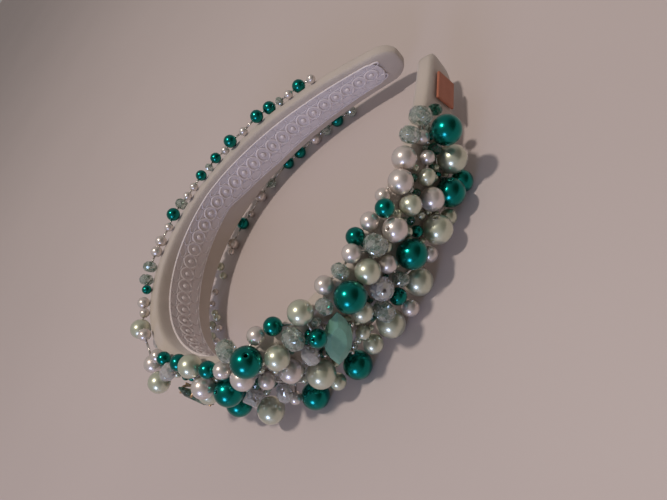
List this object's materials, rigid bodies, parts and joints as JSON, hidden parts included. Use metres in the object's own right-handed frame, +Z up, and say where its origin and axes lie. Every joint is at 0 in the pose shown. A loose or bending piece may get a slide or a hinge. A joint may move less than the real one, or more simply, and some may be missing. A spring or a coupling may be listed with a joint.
{
  "type": "pearl tiara",
  "caption": "Padded fabric headband whose outer face carries wired pearls, crystals and cut stones, with a woven trim inside, lying on its side.",
  "frame": {"origin": "bottom centre of the bounding box, on the surface the tiara lies on", "axes": "+X from the crown to the open tips, +Y towards the thinly beaded arm, +Z up from the surface"},
  "size_m": [0.159, 0.1322, 0.0449],
  "materials": {
    "emerald_pearl": "deep green pearl lacquer with a metallic sheen",
    "mint_pearl": "pale green pearl lustre",
    "ivory_pearl": "warm white pearl lustre",
    "strung_pearls": "small pearls and crystals strung on silver wire",
    "cut_crystal": "many small facets, slightly green",
    "aurora_crystal": "clear with a pink and turquoise coating",
    "frosted_glass": "pale green cut stone with a milky body",
    "green_glass": "clear green cut stone",
    "silver_metal": "silver-plated claws",
    "gold_metal": "gold-plated claws",
    "padded_fabric": "satin stretched over padding",
    "woven_trim": "two columns of loops between raised cords",
    "plain_leather": "terracotta, soft grain, no text"
  },
  "bodies": {
    "root": {"aurora_bead_01": "aurora_crystal", "aurora_bead_02": "aurora_crystal", "aurora_bead_03": "aurora_crystal", "aurora_bead_04": "aurora_crystal", "band": "padded_fabric", "braid": "woven_trim", "clear_setting": "gold_metal", "clear_stone": "green_glass", "crown_string": "strung_pearls", "crystal_bead_01": "cut_crystal", "crystal_bead_02": "cut_crystal", "crystal_bead_03": "cut_crystal", "crystal_bead_04": "cut_crystal", "crystal_bead_05": "cut_crystal", "emerald_bead_01": "emerald_pearl", "emerald_bead_02": "emerald_pearl", "emerald_bead_03": "emerald_pearl", "emerald_bead_04": "emerald_pearl", "emerald_bead_05": "emerald_pearl", "emerald_bead_06": "emerald_pearl", "emerald_bead_07": "emerald_pearl", "emerald_bead_08": "emerald_pearl", "emerald_bead_09": "emerald_pearl", "far_arm_face_string": "strung_pearls", "far_bend_face_string": "strung_pearls", "far_lower_string": "strung_pearls", "far_tip_string": "strung_pearls", "far_upper_string": "strung_pearls", "frosted_setting": "silver_metal", "frosted_stone": "frosted_glass", "ivory_bead_01": "ivory_pearl", "ivory_bead_02": "ivory_pearl", "ivory_bead_03": "ivory_pearl", "ivory_bead_04": "ivory_pearl", "ivory_bead_05": "ivory_pearl", "ivory_bead_06": "ivory_pearl", "label": "plain_leather", "mint_bead_01": "mint_pearl", "mint_bead_02": "mint_pearl", "mint_bead_03": "mint_pearl", "mint_bead_04": "mint_pearl", "mint_bead_05": "mint_pearl", "mint_bead_06": "mint_pearl", "mint_bead_07": "mint_pearl", "mint_bead_08": "mint_pearl", "mint_bead_09": "mint_pearl", "mint_bead_10": "mint_pearl", "mint_bead_11": "mint_pearl", "mint_bead_12": "mint_pearl", "mint_bead_13": "mint_pearl", "mint_bead_14": "mint_pearl", "near_arm_string": "strung_pearls", "near_bend_string": "strung_pearls", "near_tip_string": "strung_pearls"}
  },
  "joints": []
}
